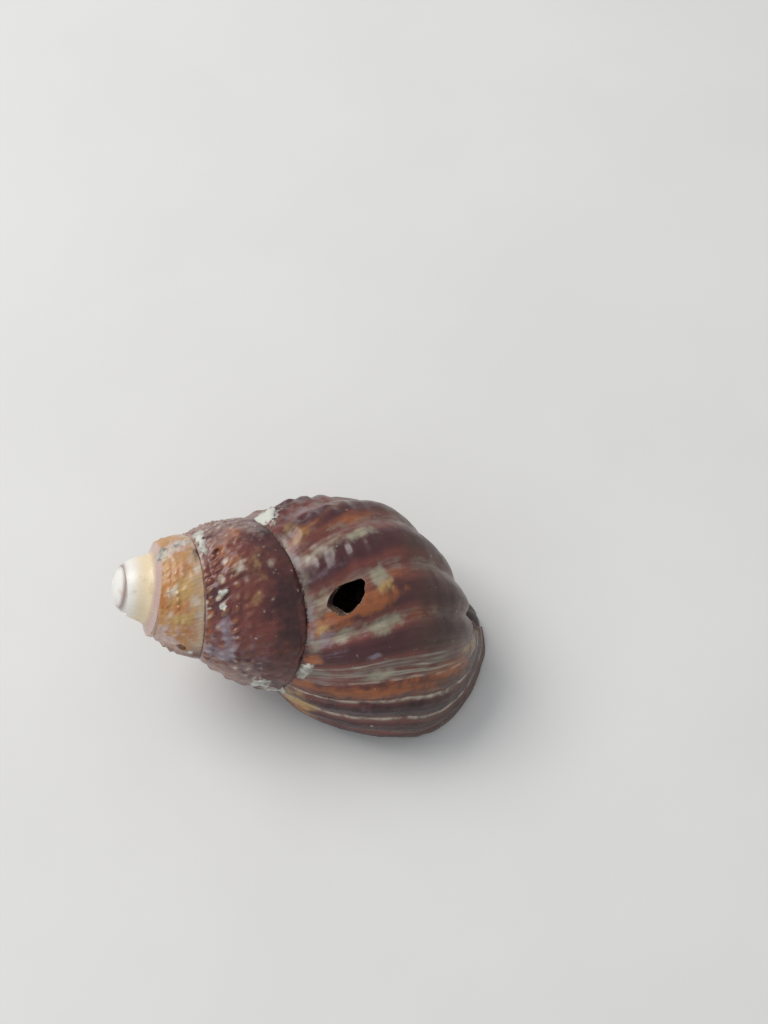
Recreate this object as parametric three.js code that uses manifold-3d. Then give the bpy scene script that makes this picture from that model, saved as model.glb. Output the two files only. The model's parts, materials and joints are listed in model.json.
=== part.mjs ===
// Mud snail shell: one grown piece, a right-handed spiral of about four whorls with an open mouth.
// Millimetres, +Z up. The shell lies mouth down as it rests by itself, apex towards -X, outer lip towards -Y.
// The origin is under the middle of its bounding box, on the surface it rests on.
import * as THREE from "three";
import { ParametricGeometry } from "three/addons/geometries/ParametricGeometry.js";
import { mergeVertices } from "three/addons/utils/BufferGeometryUtils.js";
import Module from "manifold-3d";

// Spiral growth. A place along the spiral is a turn: 0 lies at the lip's side, -1 is one whorl earlier.
const WIDTH_PER_TURN = 1.394;
const LENGTH_PER_TURN = 1.606;
const FIRST_TURN = -4;

// Steps of the sweep, and the stride in each half turn back from the lip: finer where it shows most.
const STEPS_PER_TURN = 96;
const STRIDES = [1, 2, 1, 2, 2, 3, 4, 6];

// Outline of the last whorl at turn 0, measured out from the axis and down from the spiral's start.
const SUTURE_DEPTH = 12.95;
const WIDEST_RADIUS = 8.2;
const WIDEST_DEPTH = 22.4;
const MOUTH_END_DEPTH = 28.4;
const CORE_RADIUS = 1.0;
const SHOULDER_POWER = 2.5;
const BASE_POWER = 1.8;
const OUTLINE_POINTS = 18;

// Where the widest place lies across a whorl, counted from 0 at the suture to 1 at the mouth's end.
const WIDEST_ACROSS = 0.45;

// The suture dips on the back of the shell, and the last quarter turn flares.
const DIP = 0.146;
const DIP_TURN = -0.202;
const DIP_SPREAD = 0.18;
const FLARE = 0.053;

// Growth lines: the lip's degrees past turn 0, and how far a growth line runs ahead at each depth.
const LIP_ANGLE = 13;
const LEAD_AT_SUTURE = 6.3;
const LEAD_FALL = 71.1;
const LEAD_CURVE = 45.2;

// The lip's corner at the mouth's end is rounded: the turns that the growth lines fall back there.
const CORNER_BACK = 0.045;

// Wall, and the hollow inside it as runs of first step, last step and stride.
const WALL = 0.95;
const LIP_THINNING = 0.4;
const GLAZE = 0.16;
const HOLLOW_POINTS = 9;
const HOLLOW_RUNS = [[-200, -164, 12], [-164, -122, 14], [-122, -80, 14], [-80, -40, 5], [-40, -8, 4],
  [-8, 6, 2]];

// The pillar round the axis as pairs of depth and radius, down to its rounded tip.
const PILLAR = [[2.5, 0.05], [3, 0.4], [12, 1.1], [16.5, 2.6], [18.5, 2.05], [21, 1.6], [24, 1.35], [26, 1.1],
  [26.5, 0.85], [27, 0.4], [27.2, 0.15], [27.25, 0.05]];

// Ribs of the last whorl: their crests in degrees behind the lip, as the photograph shows them.
const RIB_CRESTS = [0, 13, 28.7, 40, 66.5, 86.7, 116.6, 146, 175, 204, 233, 262, 291, 320, 349, 378, 407];
const RIB_HEIGHT = 0.36;
const LIP_RIB_HEIGHT = 0.2;

// The base is fuller on the back: its swelling, and where in degrees behind the lip and across.
const BASE_SWELL = 0.5;
const SWELL_BEHIND = 95;
const SWELL_ACROSS = 0.77;

// Beads of the spire.
const BEADS_PER_TURN = 48;
const CORDS = 9;
const BEAD_HEIGHT = 0.2;

// The worn tip as pairs of depth and radius.
const WORN_TIP = [[2.1, 0.05], [2.2, 0.75], [2.55, 1.35], [3.2, 1.85], [4.0, 2.1], [4.4, 2.3], [4.75, 3.2],
  [5.2, 5], [6.4, 12]];

// Hole bored through the back of the last whorl.
const HOLE_TURN = -0.2474;
const HOLE_ACROSS = 0.151;
const HOLE_LENGTH = 2.7;
const HOLE_WIDTH = 1.75;
const HOLE_SLANT = 41;

// Small pits and stuck lumps: turn, place across the whorl, radius, and how far it stands out or sinks in.
const SPOTS = [
  [-2.0607, 0.2, 0.36, -0.3],
  [-1.338, 0.08, 0.3, -0.22],
  [-2.38, 0.4, 0.75, 0.16],
  [-0.4248, 0.04, 0.8, 0.2],
  [-1.0, 0.36, 0.8, 0.2],
];

// Swelling that joins the pillar's foot to the last whorl, and the notch at the mouth's end, each as its
// middle and its half sizes.
const FOOT_MIDDLE = [0.9, 0.4, -25.6];
const FOOT_SIZE = [1.4, 1.1, 1.7];
const NOTCH_MIDDLE = [1.75, -1.0, -29.0];
const NOTCH_SIZE = [1.0, 1.6, 1.2];

// Rest pose in degrees, and the depth of the flats worn where it touches.
const LIP_ROLL = 20.84;
const APEX_LIFT = 24.39;
const TABLE_TURN = -2.44;
const WORN_FLAT = 0.37;

const wasm = await Module();
wasm.setup();
const { clamp, degToRad, lerp, smoothstep } = THREE.MathUtils;

// A closed three.js geometry as a solid that can be joined and cut, its faces turned out.
function solidOf(geometry) {
  const bare = geometry.clone();
  bare.deleteAttribute("normal");
  bare.deleteAttribute("uv");
  const merged = mergeVertices(bare, 1e-5);
  const points = merged.attributes.position.array;
  const corner = (i) => new THREE.Vector3().fromArray(points, 3 * i);
  const faces = [];
  let sixVolumes = 0;
  for (let i = 0; i < merged.index.count; i += 3) {
    const [a, b, c] = [0, 1, 2].map((k) => merged.index.getX(i + k));
    if (a === b || b === c || a === c) continue;
    faces.push([a, b, c]);
    sixVolumes += corner(a).dot(corner(b).cross(corner(c)));
  }
  const outward = sixVolumes < 0 ? faces.map((face) => face.reverse()) : faces;
  const triVerts = new Uint32Array(outward.flat());
  return new wasm.Manifold(new wasm.Mesh({ numProp: 3, vertProperties: points, triVerts }));
}

// A solid as a three.js geometry with flat faces.
function geometryOf(solid) {
  const mesh = solid.getMesh();
  const geometry = new THREE.BufferGeometry();
  geometry.setAttribute("position", new THREE.BufferAttribute(mesh.vertProperties, 3));
  geometry.setIndex(new THREE.BufferAttribute(mesh.triVerts, 1));
  const flat = geometry.toNonIndexed();
  flat.computeVertexNormals();
  return flat;
}

// Position in the shell's own frame: apex up +Z, turn 0 at +X, the back of the shell at +Y.
function place(turn, radius, depth) {
  const angle = -2 * Math.PI * turn;
  const r = radius * WIDTH_PER_TURN ** turn;
  return new THREE.Vector3(r * Math.cos(angle), r * Math.sin(angle), -depth * LENGTH_PER_TURN ** turn);
}

const sutureDepth = (turn) => SUTURE_DEPTH * (1 + DIP * Math.exp(-(((turn - DIP_TURN) / DIP_SPREAD) ** 2)));
const widestRadius = (turn) => WIDEST_RADIUS * (1 + FLARE * smoothstep(turn, -0.25, 0.03));

function baseRadius(turn, depth) {
  const down = clamp((depth - WIDEST_DEPTH) / (MOUTH_END_DEPTH - WIDEST_DEPTH), 0, 1);
  return CORE_RADIUS + (widestRadius(turn) - CORE_RADIUS) * (1 - down ** BASE_POWER) ** (1 / BASE_POWER);
}

// The suture lies on the whorl before.
const sutureRadius = (turn) => baseRadius(turn - 1, sutureDepth(turn) * LENGTH_PER_TURN) / WIDTH_PER_TURN;

// Radius of a whorl without relief at a depth, both at the size of turn 0.
function radiusAt(turn, depth) {
  if (depth >= WIDEST_DEPTH) return baseRadius(turn, depth);
  const up = (WIDEST_DEPTH - depth) / (WIDEST_DEPTH - sutureDepth(turn));
  return widestRadius(turn) - (widestRadius(turn) - sutureRadius(turn)) * up ** SHOULDER_POWER;
}

// Depth of a place across the whorl.
function depthAt(turn, across) {
  if (across < WIDEST_ACROSS) return lerp(sutureDepth(turn), WIDEST_DEPTH, across / WIDEST_ACROSS);
  const angle = ((across - WIDEST_ACROSS) / (1 - WIDEST_ACROSS)) * (Math.PI / 2);
  return WIDEST_DEPTH + (MOUTH_END_DEPTH - WIDEST_DEPTH) * Math.sin(angle) ** (2 / BASE_POWER);
}

// Turns that a growth line runs ahead at a depth.
function lead(depth) {
  const w = clamp((depth - SUTURE_DEPTH) / (MOUTH_END_DEPTH - SUTURE_DEPTH), 0, 1);
  return (LEAD_AT_SUTURE - LEAD_FALL * w + LEAD_CURVE * w * w) / 360;
}

// How many ribs lie between the lip and a growth line that lies so many degrees behind it.
function ribsBehind(degreesBehind) {
  const next = RIB_CRESTS.findIndex((crest) => crest > degreesBehind);
  if (next < 1) return degreesBehind / RIB_CRESTS[1];
  return next - 1 + (degreesBehind - RIB_CRESTS[next - 1]) / (RIB_CRESTS[next] - RIB_CRESTS[next - 1]);
}

// Height of the relief above the plain outline: ribs and the swelling on the last whorl, beads on the spire.
function relief(growth, across) {
  const behind = LIP_ANGLE - 360 * growth;
  const onLast = 1 - smoothstep(behind, 320, 400);
  const wave = (cycles) => 0.5 + 0.5 * Math.cos(2 * Math.PI * cycles);
  const ribHeight = lerp(LIP_RIB_HEIGHT, RIB_HEIGHT, smoothstep(behind, 25, 80));
  const rib = ribHeight * (wave(ribsBehind(behind)) ** 0.6 - 0.6);
  const bead = wave((BEADS_PER_TURN * behind) / 360) * wave(CORDS * across) - 0.25;
  const wornBead = BEAD_HEIGHT * bead * smoothstep(growth, -3.1, -2.0);
  const ends = smoothstep(across, 0, 0.1) * (1 - smoothstep(across, 0.8, 0.98));
  const swell = Math.exp(-(((behind - SWELL_BEHIND) / 30) ** 2) - ((across - SWELL_ACROSS) / 0.15) ** 2);
  return ends * lerp(wornBead, rib, onLast) + BASE_SWELL * swell;
}

// One closed section of a whorl along a growth line: the outline, then back up inside the whorl before.
function whorlLoop(growth) {
  const loop = [];
  const atLip = smoothstep(growth, LIP_ANGLE / 360 - 0.12, LIP_ANGLE / 360);
  for (let i = 0; i <= OUTLINE_POINTS; i++) {
    const across = i / OUTLINE_POINTS;
    const back = CORNER_BACK * atLip * smoothstep(across, 0.86, 1);
    const turn = growth - back + lead(depthAt(FIRST_TURN, across));
    const depth = depthAt(turn, across);
    const slope = (radiusAt(turn, depth + 0.05) - radiusAt(turn, depth - 0.05)) / 0.1;
    const high = relief(growth, across) / Math.hypot(1, slope);
    const radius = Math.max(radiusAt(turn, depth) + high, CORE_RADIUS);
    loop.push([turn, radius, depth - high * clamp(slope, -2, 2)]);
  }
  const [endTurn] = loop[OUTLINE_POINTS];
  const [startTurn, startRadius, startDepth] = loop[0];
  const inside = CORE_RADIUS * 0.7;
  loop.push([lerp(startTurn, endTurn, 0.67), inside, lerp(startDepth, MOUTH_END_DEPTH, 0.67)]);
  loop.push([lerp(startTurn, endTurn, 0.33), inside, lerp(startDepth, MOUTH_END_DEPTH, 0.33)]);
  loop.push([startTurn, inside, startDepth + 0.8]);
  loop.push([startTurn, startRadius / 2, startDepth + 0.3]);
  return loop.map((point) => place(...point));
}

const wallAt = (turn) => WALL * (1 - LIP_THINNING * smoothstep(360 * turn, LIP_ANGLE - 45, LIP_ANGLE));

// The hollow's outer side is the inside of the wall.
function outerSide(turn, depth) {
  const wall = wallAt(turn);
  if (depth < WIDEST_DEPTH) return radiusAt(turn, depth) - wall;
  const shrunk = 1 - wall / (MOUTH_END_DEPTH - WIDEST_DEPTH);
  return radiusAt(turn, WIDEST_DEPTH + (depth - WIDEST_DEPTH) / shrunk) - wall;
}

function pillarRadius(depth) {
  const next = Math.max(PILLAR.findIndex(([d]) => d > depth), 1);
  const [[d0, r0], [d1, r1]] = PILLAR.slice(next - 1, next + 1);
  return lerp(r0, r1, (depth - d0) / (d1 - d0));
}

// Its inner side is the pillar, or the glazed outside of the whorl before.
function innerSide(turn, depth) {
  const before = depth * LENGTH_PER_TURN < MOUTH_END_DEPTH ? radiusAt(turn - 1, depth * LENGTH_PER_TURN) : 0;
  const core = pillarRadius(Math.min(depth, 27));
  return Math.max(core, before / WIDTH_PER_TURN + GLAZE);
}

// Depth at which the hollow's two sides meet, found by halving.
function meetingDepth(turn, open, shut) {
  for (let i = 0; i < 24; i++) {
    const middle = (open + shut) / 2;
    if (outerSide(turn, middle) > innerSide(turn, middle)) open = middle;
    else shut = middle;
  }
  return open;
}

// One closed section of the hollow along a growth line.
function hollowLoop(growth) {
  const middleTurn = growth + lead(WIDEST_DEPTH - 2);
  const top = meetingDepth(middleTurn, WIDEST_DEPTH - 1, SUTURE_DEPTH);
  const end = meetingDepth(middleTurn, WIDEST_DEPTH - 1, MOUTH_END_DEPTH);
  const outer = [];
  const inner = [];
  for (let i = 0; i < HOLLOW_POINTS; i++) {
    const share = 0.5 - 0.5 * Math.cos((Math.PI * (i + 0.35)) / (HOLLOW_POINTS - 0.3));
    const depth = lerp(top, end, share);
    const turn = growth + lead(depth);
    outer.push(place(turn, Math.max(outerSide(turn, depth), innerSide(turn, depth) + 0.02), depth));
    inner.unshift(place(turn, innerSide(turn, depth), depth));
  }
  return [...outer, ...inner];
}

// A closed solid swept from one step to another, its ends closed by fans round their middles.
function sweep(loopAt, firstStep, lastStep, stride) {
  const loops = [];
  for (let step = firstStep; step <= lastStep; step += stride) {
    loops.push(loopAt(step / STEPS_PER_TURN + LIP_ANGLE / 360));
  }
  const middle = (loop) => loop.reduce((sum, p) => sum.add(p), new THREE.Vector3()).divideScalar(loop.length);
  const rows = [[middle(loops[0])], ...loops, [middle(loops[loops.length - 1])]];
  const along = rows.length - 1;
  const around = loops[0].length;
  const surface = (u, v, target) => {
    const row = rows[Math.round(u * along)];
    target.copy(row[Math.round(v * around) % row.length]);
  };
  return solidOf(new ParametricGeometry(surface, along, around));
}

// The whorls, joined half a turn at a time.
function whorls() {
  const half = STEPS_PER_TURN / 2;
  const pieces = STRIDES.map((stride, i) => sweep(whorlLoop, -(i + 1) * half, -i * half, stride));
  return wasm.Manifold.union(pieces);
}

// A solid turned round the shell's axis from pairs of depth and radius, closed on the axis.
function turned(pairs, segments) {
  const closed = [[pairs[0][0], 0], ...pairs, [pairs[pairs.length - 1][0], 0]];
  const profile = closed.map(([depth, radius]) => new THREE.Vector2(radius, -depth));
  return solidOf(new THREE.LatheGeometry(profile, segments).rotateX(Math.PI / 2));
}

// The blunt knob at the tip, a hair inside the worn surface so that the whorls' line still shows on it.
function knob() {
  const inner = WORN_TIP.slice(0, 6).map(([depth, radius]) => [depth + 0.08, radius * 0.96]);
  return turned([...inner, [7, 0.5]], 28);
}

// Everything outside this is worn away.
const wornEnvelope = () => turned([...WORN_TIP, [40, 12]], 28);

function oval(size, middle) {
  return solidOf(new THREE.SphereGeometry(1, 16, 12).scale(...size).translate(...middle));
}

// A place on the outer surface: its position, and the directions down the whorl, along it, and out.
function surfaceFrame(turn, across) {
  const at = (t, a) => place(t, radiusAt(t, depthAt(t, a)), depthAt(t, a));
  const down = at(turn, across + 0.01).sub(at(turn, across - 0.01)).normalize();
  const back = at(turn - 0.002, across).sub(at(turn + 0.002, across));
  const out = new THREE.Vector3().crossVectors(down, back).normalize();
  return new THREE.Matrix4().makeBasis(down, out.clone().cross(down), out).setPosition(at(turn, across));
}

// The bored hole: an uneven oval, cut straight in through the wall.
function boredHole() {
  const points = [];
  for (let i = 0; i < 22; i++) {
    const angle = (2 * Math.PI * i) / 22;
    const uneven = 0.5 + 0.035 * Math.sin(3 * angle + 1) + 0.02 * Math.sin(5 * angle);
    const x = HOLE_LENGTH * uneven * Math.cos(angle);
    const y = HOLE_WIDTH * uneven * Math.sin(angle);
    points.push(new THREE.Vector2(x, y));
  }
  const bore = new THREE.ExtrudeGeometry(new THREE.Shape(points), { depth: 3.2, bevelEnabled: false });
  bore.translate(0, 0, -2.2).rotateZ(degToRad(HOLE_SLANT));
  return solidOf(bore.applyMatrix4(surfaceFrame(HOLE_TURN, HOLE_ACROSS)));
}

// A low oval lump, or the pit that takes the same room out of the wall.
function spot([turn, across, radius, height]) {
  const ball = new THREE.SphereGeometry(1, 10, 6).scale(radius, radius * 0.8, Math.abs(height));
  return solidOf(ball.applyMatrix4(surfaceFrame(turn, across)));
}

// The shell in its own frame. The cuts leave a few slivers of no size, so only the shell itself is kept.
function grownShell() {
  const lumps = SPOTS.filter(([, , , height]) => height > 0).map(spot);
  const pits = SPOTS.filter(([, , , height]) => height < 0).map(spot);
  const foot = oval(FOOT_SIZE, FOOT_MIDDLE);
  const notch = oval(NOTCH_SIZE, NOTCH_MIDDLE);
  const body = wasm.Manifold.union([whorls(), turned(PILLAR, 18), knob(), foot, ...lumps]);
  const hollow = HOLLOW_RUNS.map((run) => sweep(hollowLoop, ...run));
  const cuts = wasm.Manifold.union([...hollow, boredHole(), notch, ...pits]);
  const pieces = body.intersect(wornEnvelope()).subtract(cuts).decompose();
  return pieces.sort((a, b) => b.volume() - a.volume())[0];
}

// From the shell's own frame to its rest: roll the lip down, lay the axis flat, lift the apex, turn.
function restPose() {
  const pose = new THREE.Matrix4().makeRotationZ(degToRad(TABLE_TURN));
  pose.multiply(new THREE.Matrix4().makeRotationY(degToRad(APEX_LIFT)));
  const lying = [new THREE.Vector3(0, -1, 0), new THREE.Vector3(0, 0, 1), new THREE.Vector3(-1, 0, 0)];
  pose.multiply(new THREE.Matrix4().makeBasis(...lying));
  return pose.multiply(new THREE.Matrix4().makeRotationZ(degToRad(-LIP_ROLL)));
}

// The shell at rest, its small contact flats cut by the plane it lies on.
function restingShell() {
  const resting = geometryOf(grownShell()).applyMatrix4(restPose());
  resting.computeBoundingBox();
  const { min, max } = resting.boundingBox;
  resting.translate(-(min.x + max.x) / 2, -(min.y + max.y) / 2, -min.z - WORN_FLAT);
  const ground = new THREE.BoxGeometry(60, 60, 10).translate(0, 0, -5);
  return solidOf(resting).subtract(solidOf(ground));
}

const shell = new THREE.Mesh(
  geometryOf(restingShell()),
  new THREE.MeshStandardMaterial({ color: 0x5d3a35, roughness: 0.4, metalness: 0 }),
);
shell.name = "shell";

const group = new THREE.Group();
group.name = "mud_snail_shell";
group.add(shell);
export default group;
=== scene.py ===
import json

import bmesh
import bpy
import numpy as np
from mathutils import Matrix

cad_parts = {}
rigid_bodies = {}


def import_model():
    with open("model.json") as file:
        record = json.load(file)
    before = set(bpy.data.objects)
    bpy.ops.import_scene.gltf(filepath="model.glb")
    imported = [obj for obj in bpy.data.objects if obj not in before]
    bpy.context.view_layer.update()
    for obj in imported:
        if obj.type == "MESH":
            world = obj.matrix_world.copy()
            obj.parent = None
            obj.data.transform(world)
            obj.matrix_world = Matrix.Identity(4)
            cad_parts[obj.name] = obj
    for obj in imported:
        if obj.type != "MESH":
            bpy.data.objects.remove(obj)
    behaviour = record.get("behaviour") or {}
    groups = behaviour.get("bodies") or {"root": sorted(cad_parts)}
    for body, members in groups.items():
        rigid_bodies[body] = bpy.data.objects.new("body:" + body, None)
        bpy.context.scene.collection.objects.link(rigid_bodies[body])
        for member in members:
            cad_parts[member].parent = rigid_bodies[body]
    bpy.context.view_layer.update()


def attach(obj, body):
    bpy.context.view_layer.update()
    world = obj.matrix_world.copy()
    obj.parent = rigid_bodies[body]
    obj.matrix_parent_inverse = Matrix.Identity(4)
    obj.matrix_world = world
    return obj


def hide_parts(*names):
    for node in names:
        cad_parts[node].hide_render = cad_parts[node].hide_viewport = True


bl_info = {
    "name": "Mud snail shell",
    "version": (1, 0, 0),
    "blender": (4, 5, 0),
    "location": "3D View > Sidebar > Mud snail",
    "description": "A worn mud snail shell with a bored hole, lying mouth down on a pale floor",
    "category": "Object",
}

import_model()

# The shell is worked out in millimetres in its own frame: apex up +Z, turn 0 at +X, its back at +Y.
# A place along the spiral is a turn: 0 lies at the lip's side and -1 is one whorl earlier. A place across
# a whorl counts from 0 at the suture to 1 at the mouth's end.
FIRST_TURN = -4.0
LIP_ANGLE = 13.0
SUTURE_DEPTH = 12.95
WIDEST_RADIUS = 8.2
WIDEST_DEPTH = 22.4
MOUTH_END_DEPTH = 28.4
CORE_RADIUS = 1.0
SHOULDER_POWER = 2.5
BASE_POWER = 1.8
BASE_HEIGHT = MOUTH_END_DEPTH - WIDEST_DEPTH
WIDEST_ACROSS = 0.45

# The suture's dip on the shell's back, as its middle and half width in turns and its share of the depth,
# and the share by which the last quarter turn flares.
SUTURE_DIP = [-0.202, 0.18, 0.146]
LIP_FLARE = 0.053

# Degrees that a growth line runs ahead: the three terms of a parabola over the way from the suture down
# to the mouth's end. The lip's corner there falls back by a few hundredths of a turn.
GROWTH_LEAD = [6.3, -71.1, 45.2]
CORNER_FALL = 0.045

# Beads in one turn of the spire, and rows of them across a whorl.
BEADS_AROUND = 48
BEAD_ROWS = 15

# Heights of the low relief in millimetres, and the degrees between growth threads.
KNOB_HEIGHT = 0.09
THREAD_HEIGHT = 0.04
THREAD_SPACING = 3.1
BAND_HEIGHT = 0.05
SWELLING_HEIGHT = 0.5
CRUST_HEIGHT = 0.2
PITTING_DEPTH = 0.15

# The swelling low on the last whorl: degrees behind the lip, half length, place across, half width.
SWELLING = [95, 30, 0.77, 0.15]

# Crests of the last whorl's ribs in degrees behind the lip, and how orange each one is.
RIB_CRESTS = [0, 13, 28.7, 40, 66.5, 86.7, 116.6, 146, 175, 204, 233, 262, 291, 320, 349, 378, 407]
RIB_ORANGE = [0.25, 0.12, 0.1, 0.35, 0.05, 0.25, 0.05, 0.3, 0.2, 0.55, 0.1, 0.5, 0.1, 0.6, 0.15, 0.4, 0.1]

# Dry lines in the grooves near the lip: degrees behind it, half width, strength.
DRY_LINES = [[20.3, 1.6, 0.8], [34.4, 1.7, 0.9], [47.5, 0.9, 0.4]]

# The flat band behind the lip in degrees: the middle and half width of its relief, and the middle of its
# dust with the half widths where that ends and is full.
FLAT_BAND = [53, 5.5]
DUSTY_BAND = [53.2, 6.5, 3.5]

# Degrees between the sections of each half whorl from the lip up, and the points across each section.
HALF_WHORL_STEPS = [1, 1, 1, 1, 2, 2, 3, 4]
SECTION_POINTS = 108

# The hollow in degrees from the lip: where it starts and stops, and how far apart its sections are.
HOLLOW_REACH = [-752, 24, 3]

# The bored hole's turn and place across. Two oval balls as half sizes and middle: the foot added to the
# pillar, and the notch cut at the mouth's end.
HOLE_PLACE = [-0.2474, 0.151]
PILLAR_FOOT = [(1.4, 1.1, 1.7), (0.9, 0.4, -25.6)]
NOTCH = [(1.0, 1.6, 1.2), (1.75, -1.0, -29.0)]

# Depth and radius of the pillar round the axis, and of the worn tip.
PILLAR = [[2.5, 0.05], [3, 0.4], [12, 1.1], [16.5, 2.6], [18.5, 2.05], [21, 1.6], [24, 1.35], [26, 1.1],
          [26.5, 0.85], [27, 0.4], [27.2, 0.15], [27.25, 0.05]]
WORN_TIP = [[2.1, 0.05], [2.2, 0.75], [2.55, 1.35], [3.2, 1.85], [4.0, 2.1], [4.4, 2.3], [4.75, 3.2],
            [5.2, 5], [6.4, 12]]

# Small pits: turn, across, radius and depth.
PITS = [[-2.0607, 0.2, 0.36, 0.3], [-1.338, 0.08, 0.3, 0.22], [-0.417, 0.04, 0.16, 0.3]]

# Marks on the skin: degrees behind the lip, across, half length along the spiral in degrees, half width
# across, strength.
MARKS = {
    # Pale marks are worn patches. A few small spots on the second whorl near the suture are painted glints.
    "pale_and_glint_mark": [
        [76, 0.285, 4, 0.085, 1.0], [98.4, 0.3, 5, 0.045, 1.0], [123.5, 0.27, 4, 0.09, 0.9],
        [126, 0.11, 5, 0.09, 0.8], [76.5, 0.13, 4.5, 0.07, 0.8], [99, 0.07, 8, 0.06, 0.7],
        [112, 0.02, 30, 0.02, 0.45], [73, 0.03, 8, 0.03, 0.6], [471, 0.17, 5, 0.035, 1.0],
        [466, 0.35, 4, 0.03, 0.5], [470, 0.08, 3, 0.02, 0.9], [813, 0.1, 7, 0.05, 1.0],
        [790, 0.09, 5, 0.03, 0.6], [824, 0.33, 5, 0.05, 0.8], [797, 0.29, 5, 0.05, 0.8],
        [782, 0.32, 4, 0.05, 0.7], [860, 0.1, 9, 0.1, 0.9], [432, 0.06, 2.5, 0.015, 0.8],
        [482, 0.11, 3, 0.02, 0.8], [51, 0.28, 2.5, 0.08, 0.8],
    ],
    "orange_mark": [
        [88, 0.17, 6, 0.19, 1.0], [84, 0.03, 7, 0.06, 1.0], [97, 0.15, 6, 0.09, 0.9],
        [98, 0.37, 3, 0.07, 0.6], [77, 0.45, 3, 0.12, 0.5], [494, 0.11, 9, 0.05, 1.0],
        [479, 0.145, 6, 0.04, 1.0], [503, 0.2, 10, 0.06, 0.9], [42, 0.3, 5, 0.32, 0.9],
        [43, 0.03, 5, 0.05, 0.9], [10, 0.05, 12, 0.05, 1.0], [135, 0.28, 4, 0.1, 0.8],
        [64, 0.03, 3.5, 0.03, 1.0], [141, 0.07, 4, 0.1, 0.7], [150, 0.3, 5, 0.1, 0.35],
        [47, 0.6, 5, 0.14, 0.8], [810, 0.03, 12, 0.05, 0.9], [793, 0.15, 6, 0.1, 1.0],
        [832, 0.2, 8, 0.1, 0.8], [430, 0.02, 60, 0.02, 0.6], [770, 0.25, 8, 0.08, 0.6],
    ],
    # The lavender marks are a painted sheen: bluish reflected light on the beads and ribs, mostly near the
    # sutures.
    "sheen_mark": [
        [408, 0.11, 14, 0.06, 1.0], [421, 0.115, 9, 0.04, 1.0], [432, 0.1, 12, 0.04, 0.8],
        [128, 0.014, 14, 0.016, 0.9], [84, 0.01, 8, 0.014, 0.9], [400, 0.26, 20, 0.12, 0.4],
        [157, 0.12, 18, 0.13, 0.5], [62, 0.25, 2, 0.03, 0.9], [69, 0.13, 4, 0.06, 0.5],
        [113, 0.12, 5, 0.1, 0.5], [28, 0.2, 5, 0.1, 0.4], [409, 0.03, 14, 0.03, 0.9],
        [515, 0.33, 14, 0.08, 0.5], [76, 0.06, 6, 0.05, 0.9], [96, 0.015, 10, 0.02, 0.9],
        [500, 0.1, 40, 0.2, 0.3],
    ],
    "crust_mark": [
        [173, 0.03, 9, 0.045, 1.0], [834, 0.445, 9, 0.022, 1.0], [525, 0.04, 13, 0.03, 1.0],
        [508, 0.03, 8, 0.02, 0.9], [370, 0.3, 10, 0.06, 0.9], [357, 0.37, 5, 0.04, 0.8],
        [22, 0.0, 8, 0.02, 0.7], [736, 0.27, 5, 0.04, 0.8], [56, 0.02, 7, 0.02, 0.7],
        [459, 0.078, 3, 0.022, 1.0], [448, 0.08, 2.5, 0.02, 0.9], [867, 0.07, 8, 0.04, 0.9],
        [861, 0.25, 9, 0.12, 0.5],
    ],
    "ochre_mark": [
        [465, 0.27, 10, 0.05, 0.5], [444, 0.24, 6, 0.04, 0.4], [52, 0.73, 3, 0.07, 0.5],
        [49, 0.84, 3.5, 0.06, 0.65], [40, 0.95, 8, 0.04, 0.7], [93, 0.315, 3, 0.035, 1.0],
        [84, 0.05, 4, 0.05, 0.7], [150, 0.04, 6, 0.06, 0.45], [139, 0.08, 4, 0.08, 0.45],
        [812, 0.18, 10, 0.13, 1.0], [782, 0.2, 8, 0.12, 0.9], [6, 0.1, 8, 0.05, 0.6],
        [20, 0.05, 7, 0.05, 0.9], [30, 0.02, 5, 0.03, 0.7],
    ],
    "dark_mark": [
        [475, 0.43, 60, 0.09, 0.7], [425, 0.42, 50, 0.11, 0.8], [390, 0.4, 30, 0.11, 0.55],
        [82, 0.6, 16, 0.12, 0.5], [745, 0.2, 3, 0.025, 1.0], [870, 0.012, 4, 0.02, 0.8],
        [71, 0.62, 8, 0.1, 0.7], [495, 0.08, 2.4, 0.016, 1.0], [39, 0.13, 5, 0.07, 0.6],
        [27, 0.35, 6, 0.4, 0.9], [12, 0.4, 6, 0.35, 0.7], [841, 0.39, 8, 0.07, 1.1],
    ],
    "pink_mark": [
        [745, 0.08, 26, 0.12, 1.0], [769, 0.04, 12, 0.05, 1.0], [720, 0.15, 20, 0.2, 0.8],
        [860, 0.2, 14, 0.16, 0.8], [535, 0.14, 36, 0.2, 1.0], [500, 0.3, 14, 0.12, 0.7],
        [376, 0.12, 20, 0.2, 1.0],
    ],
}

# The lie of the shell at rest, in degrees and millimetres, as the solid model has it.
LIP_ROLL = 20.84
APEX_LIFT = 24.39
TABLE_TURN = -2.44
REST_SHIFT = np.array([-13.373632, 1.534150, 11.888436])

# The camera at the photograph's viewing angle: place, and the directions right, up and back of it.
CAMERA_PLACE = (0.00616333, -0.03980019, 0.09567564)
CAMERA_RIGHT = (0.99006128, -0.12484055, -0.06475725)
CAMERA_UP = (0.14063638, 0.87973948, 0.45418042)
CAMERA_BACK = (0.00026938, -0.45877368, 0.88855312)
CAMERA_LENS = 52.734

# The floor's half width and its drop below the table, then each lamp's place, width and colour, and the
# point that both lamps face, in metres.
FLOOR_HALF = 1.5
FLOOR_DROP = 0.00002
SOFT_LAMP = [(-0.16, 0.14, 0.3), 0.22, (1.0, 0.98, 0.95)]
FILL_LAMP = [(-0.18, -0.2, 0.14), 0.12, (0.8, 0.87, 1.0)]
LAMP_AIM = [0, 0, 0.006]
SKY_COLOUR = (0.93, 0.96, 1.0)


def tint(red, green, blue):
    """A screen colour of three numbers up to 255 as the linear colour that a shader takes."""
    part = np.array([red, green, blue]) / 255
    return tuple(np.where(part <= 0.04045, part / 12.92, ((part + 0.055) / 1.055) ** 2.4))


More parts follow.
